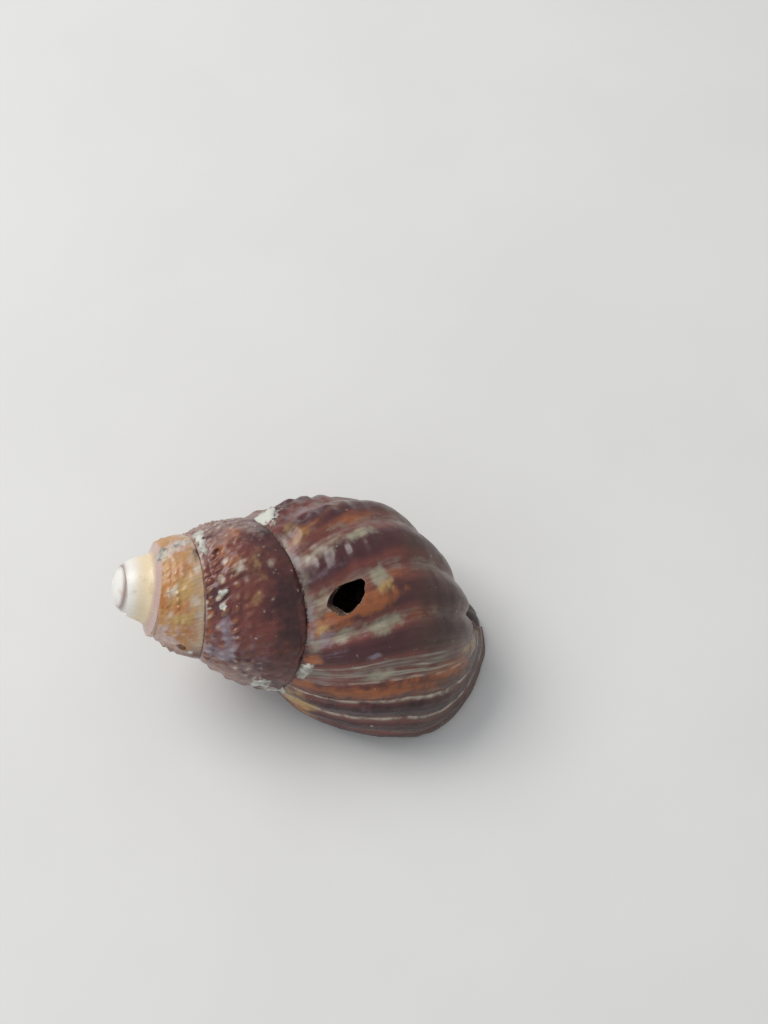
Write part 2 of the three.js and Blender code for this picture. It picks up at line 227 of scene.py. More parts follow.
def length(name, description, default, low, high):
    """One length in metres with its name, description, default and range."""
    return bpy.props.FloatProperty(
        name=name, description=description, default=default, min=low, max=high, precision=5,
        unit="LENGTH", subtype="DISTANCE")


def colour(name, description, default):
    """One colour setting with its name, description and default as a screen colour."""
    return bpy.props.FloatVectorProperty(
        name=name, description=description, default=tint(*default), size=3, min=0.0, max=1.0,
        subtype="COLOR")


class ShellSizes(bpy.types.PropertyGroup):
    """Sizes of the shell that a user would change."""

    width_per_turn: bpy.props.FloatProperty(
        name="Width per turn", description="How many times wider the shell gets in one turn",
        default=1.394, min=1.2, max=1.6, subtype="FACTOR")
    length_per_turn: bpy.props.FloatProperty(
        name="Length per turn", description="How many times deeper a place lies one turn later",
        default=1.606, min=1.3, max=2.0, subtype="FACTOR")
    wall: length("Wall", "Thickness of the last whorl's wall", 0.00095, 0.0005, 0.0014)
    rib_height: length(
        "Rib height", "Height of the last whorl's ribs above their grooves", 0.00042, 0.0, 0.0006)
    bead_height: length("Bead height", "Height of the beads on the spire", 0.0003, 0.0, 0.0004)
    hole_length: length(
        "Hole length", "Longer width of the hole bored in the shell's back", 0.0027, 0.001, 0.004)
    hole_width: length(
        "Hole width", "Shorter width of the hole bored in the shell's back", 0.00175, 0.0008, 0.003)
    hole_slant: bpy.props.FloatProperty(
        name="Hole slant", description="Turn of the hole's longer width from the way down the whorl",
        default=np.radians(41), min=-1.6, max=1.6, subtype="ANGLE", unit="ROTATION")


class ShellColours(bpy.types.PropertyGroup):
    """Colours of the shell's skin, residues and mouth."""

    purple_brown: colour("Purple-brown", "Most ribs of the last whorl", (74, 37, 40))
    rust_orange: colour("Rust orange", "The orange ribs", (146, 84, 48))
    olive_brown: colour("Olive brown", "The worn lower half of the last whorl", (82, 62, 50))
    groove_grey: colour("Groove grey", "Dry residue in the grooves", (122, 114, 104))
    pale_green: colour("Pale green-grey", "Patches where the skin has worn off", (152, 147, 126))
    maroon: colour("Maroon", "The whorl before the last", (112, 59, 52))
    seam_dark: colour("Dark brown", "The smooth band over the suture, and dark patches", (50, 27, 28))
    amber: colour("Amber", "The third whorl from the mouth", (188, 139, 86))
    bright_orange: colour("Bright orange", "Streaks of the third whorl", (180, 114, 62))
    ochre: colour("Ochre", "Worn yellow-brown places", (190, 156, 98))
    collar_pink: colour("Collar pink", "The ring under the worn tip, and pink patches", (194, 166, 156))
    ivory: colour("Ivory", "The worn tip", (238, 218, 182))
    nub_white: colour("Nub white", "The very tip", (240, 238, 234))
    bead_cream: colour("Bead cream", "Rubbed tips of the beads", (206, 194, 176))
    # Lavender is the colour of a painted sheen, reflected light on the beads and ribs near the sutures.
    lavender: colour("Lavender", "Bluish bloom near the sutures", (156, 146, 158))
    crust_white: colour("Crust white", "White-green crust", (212, 212, 202))
    lining: colour("Mouth lining", "The glossy inside of the mouth", (86, 48, 44))
    broken_wall: colour("Broken wall", "The wall's section in the hole", (104, 84, 70))


class StageLook(bpy.types.PropertyGroup):
    """The floor and the light round the shell."""

    floor_colour: colour("Floor", "Colour of the pale floor", (226, 225, 222))
    lamp_power: bpy.props.FloatProperty(
        name="Lamp power", description="Power of the large soft lamp up to the left",
        default=0.8, min=0.0, max=50.0, unit="POWER")
    fill_power: bpy.props.FloatProperty(
        name="Fill power", description="Power of the small bluish lamp down to the left",
        default=0.05, min=0.0, max=50.0, unit="POWER")
    sky_strength: bpy.props.FloatProperty(
        name="Sky strength", description="Strength of the light from all round",
        default=0.52, min=0.0, max=10.0, subtype="FACTOR")


def ease(x, low, high):
    """A step from 0 at low to 1 at high, smooth at both ends: t squared times (3 - 2 t)."""
    t = np.clip((x - low) / (high - low), 0, 1)
    return t * t * (3 - 2 * t)


def between(a, b, share):
    """Straight mix: a plus share times (b - a)."""
    return a + (b - a) * share


def mottle(u, v, size, seed):
    """Smooth random height from -1 to 1 over the plane of u and v: values on a lattice of cells of this
    size, drawn with a fixed seed, mixed by the eased place inside the cell."""
    cells = 64
    lattice = np.random.default_rng(seed).uniform(-1, 1, (cells, cells))
    x, y = np.broadcast_arrays(u / size, v / size)
    i, j = np.floor(x).astype(int), np.floor(y).astype(int)
    s, t = ease(x - i, 0, 1), ease(y - j, 0, 1)
    at = lambda a, b: lattice[(i + a) % cells, (j + b) % cells]
    return between(between(at(0, 0), at(1, 0), s), between(at(0, 1), at(1, 1), s), t)


def smooth_line(pairs, count):
    """Pairs of depth and radius as a smooth line of count points, rounded by an average over neighbours
    of the straight line between the pairs; its ends stay."""
    pairs = np.array(pairs, float)
    along = np.concatenate([[0], np.cumsum(np.hypot(*np.diff(pairs, axis=0).T))])
    even = np.linspace(0, along[-1], count)
    line = np.stack([np.interp(even, along, pairs[:, k]) for k in (0, 1)], -1)
    for _ in range(4):
        line[1:-1] = line[:-2] / 4 + line[1:-1] / 2 + line[2:] / 4
    return line


def unrolled(behind, across):
    """The skin laid out flat, in about millimetres: along the whorl and across it."""
    return 0.14 * behind, 20 * across


def bead_patch(behind, across, middle, half_length):
    """A bell shape in degrees behind the lip that also fades below the rows of beads."""
    return np.exp(-(((behind - middle) / half_length) ** 2) - (across / 0.3) ** 4)


def down_base(depth):
    """Share of the way from the widest place down to the mouth's end, from 0 to 1."""
    return np.clip((depth - WIDEST_DEPTH) / BASE_HEIGHT, 0, 1)


class Spiral:
    """The shell's growth in numbers, each function over whole arrays."""

    def __init__(self, sizes):
        self.width = sizes.width_per_turn
        self.length = sizes.length_per_turn
        self.wall = sizes.wall * 1000
        self.rib_height = sizes.rib_height * 1000
        self.bead_height = sizes.bead_height * 1000

    def place(self, turn, radius, depth):
        """Position: radius times width per turn to the turn, at the angle of the turn, and depth times
        length per turn to the turn, downwards."""
        angle = -2 * np.pi * turn
        r = radius * self.width ** turn
        parts = np.broadcast_arrays(r * np.cos(angle), r * np.sin(angle), -depth * self.length ** turn)
        return np.stack(parts, -1)

    def suture_depth(self, turn):
        """Depth of the suture at the size of turn 0; a bell-shaped dip lowers it on the back."""
        middle, half_width, share = SUTURE_DIP
        return SUTURE_DEPTH * (1 + share * np.exp(-(((turn - middle) / half_width) ** 2)))

    def widest(self, turn):
        """Greatest radius at the size of turn 0; the last quarter turn flares."""
        return WIDEST_RADIUS * (1 + LIP_FLARE * ease(turn, -0.25, 0.03))

    def base_radius(self, turn, depth):
        """Radius below the widest place: a superellipse down to the core."""
        left = (1 - down_base(depth) ** BASE_POWER) ** (1 / BASE_POWER)
        return CORE_RADIUS + (self.widest(turn) - CORE_RADIUS) * left

    def radius_at(self, turn, depth):
        """Radius of the plain outline: from the suture, which lies on the whorl before, out to the widest
        place by a power of the way left, then the base."""
        seam = self.suture_depth(turn)
        start = self.base_radius(turn - 1, seam * self.length) / self.width
        up = np.clip((WIDEST_DEPTH - depth) / (WIDEST_DEPTH - seam), 0, None)
        upper = self.widest(turn) - (self.widest(turn) - start) * up ** SHOULDER_POWER
        return np.where(depth < WIDEST_DEPTH, upper, self.base_radius(turn, depth))

    def depth_at(self, turn, across):
        """Depth of a place across: straight from the suture to the widest place, then a sine's power."""
        upper = between(self.suture_depth(turn), WIDEST_DEPTH, across / WIDEST_ACROSS)
        angle = np.clip((across - WIDEST_ACROSS) / (1 - WIDEST_ACROSS), 0, 1) * np.pi / 2
        lower = WIDEST_DEPTH + BASE_HEIGHT * np.sin(angle) ** (2 / BASE_POWER)
        return np.where(across < WIDEST_ACROSS, upper, lower)

    def across_at(self, turn, depth):
        """The place across at a depth: depth_at turned round."""
        seam = self.suture_depth(turn)
        upper = WIDEST_ACROSS * (depth - seam) / (WIDEST_DEPTH - seam)
        angle = np.arcsin(down_base(depth) ** (BASE_POWER / 2))
        lower = WIDEST_ACROSS + (1 - WIDEST_ACROSS) * angle / (np.pi / 2)
        return np.where(depth < WIDEST_DEPTH, upper, lower)

    def lead(self, depth):
        """Turns that a growth line runs ahead at a depth: a parabola of the depth."""
        w = np.clip((depth - SUTURE_DEPTH) / (MOUTH_END_DEPTH - SUTURE_DEPTH), 0, 1)
        first, straight, curved = GROWTH_LEAD
        return (first + straight * w + curved * w * w) / 360

    def turn_of(self, growth, across):
        """Turn at which a growth line crosses a place across."""
        return growth + self.lead(self.depth_at(FIRST_TURN, across))

    def growth_of(self, turn, across):
        """The growth line that crosses a place across at a turn: turn_of turned round."""
        return turn - self.lead(self.depth_at(FIRST_TURN, across))

    def rib_wave(self, behind):
        """1 on a rib's crest and 0 in the groove: half a cosine's sum over the ribs counted between
        uneven crests."""
        count = np.interp(behind, RIB_CRESTS, np.arange(len(RIB_CRESTS)))
        return 0.5 + 0.5 * np.cos(2 * np.pi * count)

    def bead_wave(self, behind, across):
        """1 on a bead's tip: a wave round the whorl times a wave across it, both unevenly spaced."""
        shift = 0.3 * mottle(*unrolled(behind, across), 1.3, 31)
        along = 0.5 + 0.5 * np.cos(2 * np.pi * (BEADS_AROUND * behind / 360 + shift))
        return along * (0.5 + 0.5 * np.cos(2 * np.pi * (BEAD_ROWS * (across - 0.012) + shift)))

    def last_relief(self, behind, across):
        """The last whorl: ribs with beaded shoulders, fine growth threads and a flat band near the lip."""
        height = between(0.56 * self.rib_height, self.rib_height, ease(behind, 25, 80))
        rib = height * (self.rib_wave(behind) ** 0.6 - 0.6)
        shoulder = ease(behind, 90, 115) * (1 - ease(across, 0.3, 0.42))
        knobs = KNOB_HEIGHT * shoulder * self.rib_wave(behind) * np.cos(2 * np.pi * 13 * across)
        wavy = behind + 1.2 * mottle(behind, 24 * across, 5, 3)
        thread = 0.5 + 0.5 * np.cos(2 * np.pi * wavy / THREAD_SPACING)
        threads = THREAD_HEIGHT * (1 - ease(behind, 62, 80)) * thread
        middle, half_width = FLAT_BAND
        flat_band = BAND_HEIGHT * np.exp(-(((behind - middle) / half_width) ** 2))
        return rib + knobs + threads + flat_band

    def spire_relief(self, growth, behind, across):
        """The spire: beads of uneven height, weak far from the suture and on the first whorls."""
        bead = self.bead_height * (self.bead_wave(behind, across) - 0.25)
        uneven = 0.7 + 0.8 * mottle(*unrolled(behind, across), 1.0, 33)
        return bead * uneven * (1 - 0.85 * ease(across, 0.1, 0.3)) * ease(growth, -3.0, -1.9)

    def relief(self, growth, across):
        """Height over the plain outline: the relief of the last whorl or the spire, uneven wear and pits,
        all faded out at the suture and the mouth's end, then a swelling and lumps of crust."""
        behind = LIP_ANGLE - 360 * growth
        on_last = 1 - ease(behind, 320, 400)
        u, v = unrolled(behind, across)
        wear = between(0.1, 0.04, on_last) * mottle(u, v, 1.3, 5) + 0.03 * mottle(u, v, 0.5, 8)
        wear = wear + 0.12 * mottle(u, v, 0.9, 6) * bead_patch(behind, across, 497, 22)
        pitted = bead_patch(behind, across, 165, 30)
        pits = -PITTING_DEPTH * pitted * ease(mottle(u, v, 0.62, 11), 0.05, 0.7)
        ends = ease(across, 0, between(0.03, 0.1, on_last)) * (1 - ease(across, 0.8, 0.98))
        middle, half_length, place, half_width = SWELLING
        away = ((behind - middle) / half_length) ** 2 + ((across - place) / half_width) ** 2
        swell = SWELLING_HEIGHT * np.exp(-away)
        crust = marks(behind, across, MARKS["crust_mark"])
        lumps = CRUST_HEIGHT * crust * (1 + 0.5 * mottle(u, v, 0.3, 9))
        spire = self.spire_relief(growth, behind, across)
        skin = between(spire, self.last_relief(behind, across), on_last) + wear + pits
        return ends * skin + swell + lumps * ease(across, 0, 0.03)

    def whorl_rows(self, growths, count):
        """Closed sections of a whorl along growth lines: the outline moved by the relief along its
        normal, then back up inside the whorl before. The lip's corner at the mouth's end falls back."""
        upper = np.linspace(0, 0.5, int(count * 0.6), endpoint=False)
        across = np.concatenate([upper, np.linspace(0.5, 1, count - len(upper))])[None]
        growth = growths[:, None]
        corner = CORNER_FALL * ease(growth, LIP_ANGLE / 360 - 0.12, LIP_ANGLE / 360) * ease(across, 0.86, 1)
        turn = self.turn_of(growth, across) - corner
        depth = self.depth_at(turn, across)
        slope = (self.radius_at(turn, depth + 0.05) - self.radius_at(turn, depth - 0.05)) / 0.1
        high = self.relief(growth, across) / np.hypot(1, slope)
        radius = np.maximum(self.radius_at(turn, depth) + high, CORE_RADIUS)
        depth = depth - high * np.clip(slope, -2, 2)
        start, end = slice(0, 1), slice(-1, None)
        inner_turn = [between(turn[:, start], turn[:, end], s) for s in (0.67, 0.33, 0, 0)]
        seam = depth[:, start]
        inner_depth = [between(seam, MOUTH_END_DEPTH, 0.67), between(seam, MOUTH_END_DEPTH, 0.33),
                       seam + 0.8, seam + 0.3]
        inside = np.full_like(seam, 0.7 * CORE_RADIUS)
        inner_radius = [inside, inside, inside, radius[:, start] / 2]
        sides = [(turn, inner_turn), (radius, inner_radius), (depth, inner_depth)]
        return self.place(*[np.concatenate([outer, *inner], 1) for outer, inner in sides])

    def outer_side(self, turn, depth):
        """Radius of the hollow's outer side: the outline less the wall, which thins towards the lip."""
        wall = self.wall * (1 - 0.4 * ease(360 * turn, LIP_ANGLE - 45, LIP_ANGLE))
        shrunk = 1 - wall / BASE_HEIGHT
        lower = self.radius_at(turn, WIDEST_DEPTH + (depth - WIDEST_DEPTH) / shrunk)
        return np.where(depth < WIDEST_DEPTH, self.radius_at(turn, depth), lower) - wall

    def inner_side(self, turn, depth):
        """Radius of the hollow's inner side: the pillar, or the glazed outside of the whorl before."""
        pairs = np.array(PILLAR)
        core = np.interp(np.minimum(depth, 27), pairs[:, 0], pairs[:, 1])
        earlier = depth * self.length
        before = np.where(earlier < MOUTH_END_DEPTH, self.radius_at(turn - 1, earlier), 0)
        return np.maximum(core, before / self.width + 0.16)

    def meeting_depth(self, turn, shut):
        """Depth at which the hollow's two sides meet, found by halving over all turns at once."""
        opened = np.full_like(turn, WIDEST_DEPTH - 1)
        closed = np.full_like(turn, shut)
        for _ in range(24):
            middle = (opened + closed) / 2
            clear = self.outer_side(turn, middle) > self.inner_side(turn, middle)
            opened, closed = np.where(clear, middle, opened), np.where(clear, closed, middle)
        return opened

    def hollow_rows(self, growths, count):
        """Closed sections of the hollow along growth lines, down its outer side and up its inner one,
        the points spaced by a cosine between the depths at which the sides meet."""
        growth = growths[:, None]
        middle = growth + self.lead(WIDEST_DEPTH - 2)
        top, end = self.meeting_depth(middle, SUTURE_DEPTH), self.meeting_depth(middle, MOUTH_END_DEPTH)
        share = 0.5 - 0.5 * np.cos(np.pi * (np.arange(count) + 0.35) / (count - 0.3))
        depth = between(top, end, share[None])
        turn = growth + self.lead(depth)
        inner = self.inner_side(turn, depth)
        outer = np.maximum(self.outer_side(turn, depth), inner + 0.02)
        rows = [self.place(turn, outer, depth), self.place(turn, inner, depth)[:, ::-1]]
        return np.concatenate(rows, 1)

    def surface_frame(self, turn, across):
        """Directions down the whorl, along it and out of it, as rows, and the place they start from."""
        def at(t, a):
            depth = self.depth_at(t, np.float64(a))
            return self.place(t, self.radius_at(t, depth), depth)
        down = at(turn, across + 0.01) - at(turn, across - 0.01)
        down = down / np.linalg.norm(down)
        out = np.cross(down, at(turn - 0.002, across) - at(turn + 0.002, across))
        out = out / np.linalg.norm(out)
        return np.array([down, np.cross(out, down), out]), at(turn, across)


def turned_rows(pairs, around):
    """Rings round the axis from pairs of depth and radius."""
    angle = np.linspace(0, 2 * np.pi, around, endpoint=False)[None]
    depth, radius = np.array(pairs, float).T[:, :, None]
    parts = np.broadcast_arrays(radius * np.cos(angle), radius * np.sin(angle), -depth)
    return np.stack(parts, -1)


def oval_rows(size, rings, around):
    """Rings of an oval ball: sine and cosine of a latitude times its half sizes, short of the poles."""
    latitude = np.linspace(-np.pi / 2, np.pi / 2, rings + 2)[1:-1]
    pairs = np.stack([-np.sin(latitude), np.cos(latitude)], -1)
    return turned_rows(pairs, around) * np.array(size)


def bore_rows(sizes):
    """Rings of the bored hole along its own depth: an uneven oval, wider where its rim is worn."""
    angle = np.linspace(0, 2 * np.pi, 72, endpoint=False)[None]
    high = np.concatenate([[-2.2], np.linspace(-0.5, 0.5, 11), [1.0]])[:, None]
    uneven = 0.5 + 0.035 * np.sin(3 * angle + 1) + 0.02 * np.sin(5 * angle) + 0.008 * np.sin(11 * angle + 2)
    wide = uneven * (1 + 0.18 * ease(high, -0.35, 0.5)) - 0.02
    x = sizes.hole_length * 1000 * wide * np.cos(angle)
    y = sizes.hole_width * 1000 * wide * np.sin(angle)
    slant, lean = sizes.hole_slant, -0.42 * np.minimum(high + 0.15, 0)
    parts = np.broadcast_arrays(x * np.cos(slant) - y * np.sin(slant) + lean,
                                x * np.sin(slant) + y * np.cos(slant) + 0.4 * lean, high)
    return np.stack(parts, -1)


def rest_turn():
    """The turning from the shell's own frame to its rest: roll the lip down, lay the axis flat, lift the
    apex, turn on the table."""
    roll, lift, turn = np.radians([-LIP_ROLL, APEX_LIFT, TABLE_TURN])
    about_z = lambda a: np.array([[np.cos(a), -np.sin(a), 0], [np.sin(a), np.cos(a), 0], [0, 0, 1]])
    about_y = np.array([[np.cos(lift), 0, np.sin(lift)], [0, 1, 0], [-np.sin(lift), 0, np.cos(lift)]])
    lying = np.array([[0, 0, -1], [-1, 0, 0], [0, 1, 0]], float)
    return about_z(turn) @ about_y @ lying @ about_z(roll)


def at_rest(points):
    """Points of the shell's own frame where they lie at rest, in millimetres."""
    return points @ rest_turn().T + REST_SHIFT


def closed_solid(name, rows, finish):
    """A closed solid through rows of a grid whose columns go round: four-cornered faces between the rows
    and a fan round each end's middle, turned outwards by the sign of its volume."""
    count, around = rows.shape[:2]
    points = np.concatenate([rows.reshape(-1, 3), rows[:1].mean(1), rows[-1:].mean(1)])
    corner = np.arange(count * around).reshape(count, around)
    beside = np.roll(corner, -1, axis=1)
    sides = np.stack([corner[:-1], beside[:-1], beside[1:], corner[1:]], -1).reshape(-1, 4)
    first, last = count * around, count * around + 1
    start = np.stack([np.full(around, first), beside[0], corner[0]], -1)
    end = np.stack([np.full(around, last), corner[-1], beside[-1]], -1)
    halves = np.concatenate([sides[:, [0, 1, 2]], sides[:, [0, 2, 3]], start, end])
    a, b, c = points[halves].transpose(1, 0, 2)
    if (a * np.cross(b, c)).sum() < 0:
        sides, start, end = sides[:, ::-1], start[:, ::-1], end[:, ::-1]
    mesh = bpy.data.meshes.new(name)
    mesh.from_pydata(points.tolist(), [], sides.tolist() + start.tolist() + end.tolist())
    mesh.materials.append(finish)
    return bpy.data.objects.new(name, mesh)


def gathered(name, solids):
    """A collection that a Boolean modifier joins or takes away as one."""
    group = bpy.data.collections.new(name)
    for solid in solids:
        group.objects.link(solid)
    bpy.context.scene.collection.children.link(group)
    return group


def cut_and_joined(solid, steps):
    """The solid's mesh after Boolean steps of kind and collection; the helpers are removed."""
    bpy.context.scene.collection.objects.link(solid)
    for kind, group in steps:
        step = solid.modifiers.new(kind.lower(), "BOOLEAN")
        step.operation, step.solver, step.operand_type = kind, "MANIFOLD", "COLLECTION"
        step.collection, step.material_mode = group, "TRANSFER"
    graph = bpy.context.evaluated_depsgraph_get()
    mesh = bpy.data.meshes.new_from_object(solid.evaluated_get(graph), depsgraph=graph)
    for group in {group for _, group in steps}:
        for helper in list(group.objects):
            bpy.data.objects.remove(helper)
        bpy.data.collections.remove(group)
    bpy.data.objects.remove(solid)
    return mesh


def points_of(mesh):
    """A mesh's points as an array."""
    flat = np.empty(len(mesh.vertices) * 3, np.float32)
    mesh.vertices.foreach_get("co", flat)
    return flat.reshape(-1, 3).astype(float)


def keep_largest_part(mesh):
    """Takes out the slivers that the cuts leave: each point takes the lowest label among its neighbours
    until nothing changes, and only the label with the most points stays."""
    edges = np.empty(len(mesh.edges) * 2, np.int32)
    mesh.edges.foreach_get("vertices", edges)
    a, b = edges.reshape(-1, 2).T
    label = np.arange(len(mesh.vertices))
    while True:
        lower = label.copy()
        np.minimum.at(lower, a, label[b])
        np.minimum.at(lower, b, label[a])
        lower = lower[lower]
        if (lower == label).all():
            break
        label = lower
    stray = np.flatnonzero(label != np.bincount(label).argmax())
    shape = bmesh.new()
    shape.from_mesh(mesh)
    shape.verts.ensure_lookup_table()
    bmesh.ops.delete(shape, geom=[shape.verts[i] for i in stray], context="VERTS")
    shape.to_mesh(mesh)
    shape.free()


def marks(behind, across, table):
    """Strength of soft uneven marks: the strongest of bell shapes in degrees behind the lip and across,
    each drawn out of shape by random heights."""
    u, v = 0.11 * behind + 12 * across, 0.08 * behind - 16 * across
    sway = 0.45 * mottle(u, v, 0.6, 21) + 0.25 * mottle(v - u, u + v, 0.3, 22)
    bend = 0.45 * mottle(u, v, 0.7, 23) + 0.25 * mottle(v - u, u + v, 0.3, 24)
    strength = np.zeros_like(behind)
    for middle, place, half_length, half_width, full in table:
        away = ((behind - middle) / half_length + sway) ** 2 + ((across - place) / half_width + bend) ** 2
        strength = np.maximum(strength, full * np.exp(-away))
    return strength


def outermost_turn(spiral, part, low):
    """Turn of each point of the skin, from its part of a turn and how low it lies: of the whorls that
    pass there, the skin belongs to the widest one."""
    turn, best = np.full(len(part), -3.5), np.full(len(part), -1.0)
    for whorl in range(-4, 1):
        at = part + whorl
        depth = low / spiral.length ** at
        seam = spiral.suture_depth(at)
        inside = (depth > seam - 0.06) & (depth < MOUTH_END_DEPTH + 0.3)
        wide = spiral.radius_at(at, np.maximum(depth, seam)) * spiral.width ** at
        across = spiral.across_at(at, np.clip(depth, seam, MOUTH_END_DEPTH))
        growth = spiral.growth_of(at, across)
        wide = np.where(inside & (growth < (LIP_ANGLE + 1.5) / 360), wide, -1)
        better = wide > best
        turn, best = np.where(better, at, turn), np.where(better, wide, best)
    return turn


def skin_fields(spiral, points):
    """Where each point of the skin lies in the shell's growth, and how strongly each finish shows there,
    worked out from the turn, the place across, and the depth and radius in millimetres."""
    own = (points - REST_SHIFT) @ rest_turn()
    radius, low = np.hypot(own[:, 0], own[:, 1]), -own[:, 2]
    turn = outermost_turn(spiral, -np.arctan2(own[:, 1], own[:, 0]) / (2 * np.pi), low)
    depth = np.clip(low / spiral.length ** turn, spiral.suture_depth(turn), MOUTH_END_DEPTH)
    across = spiral.across_at(turn, depth)
    growth = spiral.growth_of(turn, across)
    behind = LIP_ANGLE - 360 * growth
    scale = spiral.length ** turn
    under_seam = (depth - spiral.suture_depth(turn)) * scale
    over_seam = spiral.suture_depth(turn + 1) * scale * spiral.length - depth * scale
    over_seam = np.where(growth + 1 < LIP_ANGLE / 360, np.maximum(over_seam, 0), 9)
    last = 1 - ease(behind, 345, 372)
    ivory = 1 - ease(low, 4.15, 4.45)
    ivory = np.maximum(ivory, (1 - ease(low, 3.9, 4.6)) * (1 - ease(radius, 2.2, 2.5)))
    collar = (1 - ivory) * np.maximum(1 - ease(growth, -3.05, -2.97), 1 - ease(low, 4.55, 4.75))
    tip_line = (1 - ease(low, 3.1, 3.4)) * np.exp(-((radius - 1.35) / 0.13) ** 2)
    return {
        "growth": growth,
        "across": across,
        "last_whorl": last,
        "rib": spiral.rib_wave(behind) * last,
        "orange_rib": np.interp(behind, RIB_CRESTS, RIB_ORANGE) * last,
        "bead": spiral.bead_wave(behind, across) * (1 - last) * ease(growth, -3.1, -2.4),
        "third_whorl": 1 - ease(growth, -2.06, -1.98),
        "collar": collar * (1 - ease(low, 7, 8)),
        "ivory": ivory,
        "tip_line": tip_line,
        "nub": 1 - ease(low, 2.9, 3.9),
        "under_seam": np.exp(-under_seam / (0.42 * scale ** 1.4)),
        "over_seam": np.exp(-over_seam / (0.5 * scale)),
        **{name: marks(behind, across, table) for name, table in MARKS.items()},
    }


class Finish:
    """A material that is put together from small steps: fields of the skin, noise, and mixes."""

    def __init__(self, name):
        self.material = bpy.data.materials.new(name)
        self.material.use_nodes = True
        self.tree = self.material.node_tree
        self.shader = self.tree.nodes["Principled BSDF"]
        self.place = self.node("TexCoord").outputs["Object"]

    def put(self, socket, value):
        """Links an output to a socket, or writes a plain value into it."""
        if isinstance(value, bpy.types.NodeSocket):
            self.tree.links.new(value, socket)
        elif hasattr(value, "__len__") and len(value) == 3 and socket.type == "RGBA":
            socket.default_value = (*value, 1)
        else:
            socket.default_value = value

    def node(self, kind, inputs=(), **settings):
        """A node with its settings, and its inputs as pairs of socket and value."""
        made = self.tree.nodes.new("ShaderNode" + kind)
        for key, value in settings.items():
            setattr(made, key, value)
        for key, value in inputs:
            self.put(made.inputs[key], value)
        return made

    def field(self, name):
        """One field of the skin, as skin_fields works it out."""
        return self.node("Attribute", attribute_name=name).outputs["Fac"]

    def math(self, kind, a, b=0.0, c=0.0):
        """Arithmetic of one kind on up to three values."""
        return self.node("Math", [(0, a), (1, b), (2, c)], operation=kind).outputs[0]

    def times(self, a, b):
        """Two values multiplied."""
        return self.math("MULTIPLY", a, b)

    def plus(self, value, part, share=1.0):
        """A value plus a share of another."""
        return self.math("MULTIPLY_ADD", part, share, value)

    def away(self, value, middle):
        """How far a value lies from a middle."""
        return self.math("ABSOLUTE", self.math("SUBTRACT", value, middle))

    def stirred(self, value, noise, amount):
        """A value moved up and down by an amount of noise."""
        return self.plus(value, self.math("SUBTRACT", noise, 0.5), amount)

    def spread(self, value, low, high, start=0.0, end=1.0):
        """A value eased from start to end between low and high."""
        inputs = [("Value", value), ("From Min", low), ("From Max", high), ("To Min", start), ("To Max", end)]
        return self.node("MapRange", inputs, interpolation_type="SMOOTHSTEP").outputs[0]

    def mix(self, share, a, b, kind="MIX"):
        """Colour a with colour b laid over it by a share."""
        inputs = [(0, share), (6, a), (7, b)]
        return self.node("Mix", inputs, data_type="RGBA", blend_type=kind).outputs[2]

    def shaded(self, skin, shade):
        """A colour made darker or lighter by a value."""
        tone = self.node("CombineColor", [(0, shade), (1, shade), (2, shade)]).outputs[0]
        return self.mix(1.0, skin, tone, "MULTIPLY")

    def noise(self, vector, scale, detail=3.0, roughness=0.55):
        """Soft noise from 0 to 1."""
        inputs = [("Vector", vector), ("Scale", scale), ("Detail", detail), ("Roughness", roughness)]
        return self.node("TexNoise", inputs).outputs["Fac"]

    def coat(self, skin, rough, grain, strength, distance):
        """The finished material: its colour, its roughness, and a bump of a strength and distance."""
        bump = self.node("Bump", [("Height", grain), ("Strength", strength), ("Distance", distance)])
        for key, value in (("Base Color", skin), ("Roughness", rough), ("Normal", bump.outputs[0])):
            self.put(self.shader.inputs[key], value)
        return self.material


class Skin(Finish):
    """The outer skin's material, with the fields and the noise that its layers share. Lines, threads and
    bands follow the growth; coarse, middle and fine noise lie in the shell."""

    def __init__(self):
        super().__init__("worn_skin")
        self.growth, self.across, self.last = map(self.field, ("growth", "across", "last_whorl"))
        self.rib, self.bead, self.third = map(self.field, ("rib", "bead", "third_whorl"))
        self.lines = self.noise(self.grown(110, 5), 1.6, 4, 0.65)
        self.threads = self.noise(self.grown(250, 4), 1.0, 1, 0.5)
        self.bands = self.noise(self.grown(40, 7), 1.0)
        self.coarse = self.noise(self.place, 420, 4)
        self.middle = self.noise(self.place, 1100, 4)
        self.fine = self.noise(self.place, 3800)
        self.streaky = self.plus(self.times(self.middle, 0.5), self.lines, 0.5)
        groove = self.spread(self.rib, 0.3, 0.0)
        self.dry = self.times(groove, self.spread(self.streaky, 0.42, 0.62, 0.0, 0.6))

    def grown(self, fast, slow):
        """Coordinates that follow the growth lines: growth times one number, across times another."""
        inputs = [("X", self.times(self.growth, fast)), ("Y", self.times(self.across, slow))]
        return self.node("CombineXYZ", inputs).outputs[0]

    def broken(self, name, noise, amount, low, high):
        """A field of the skin with its edge broken up by noise."""
        return self.spread(self.stirred(self.field(name), noise, amount), low, high)


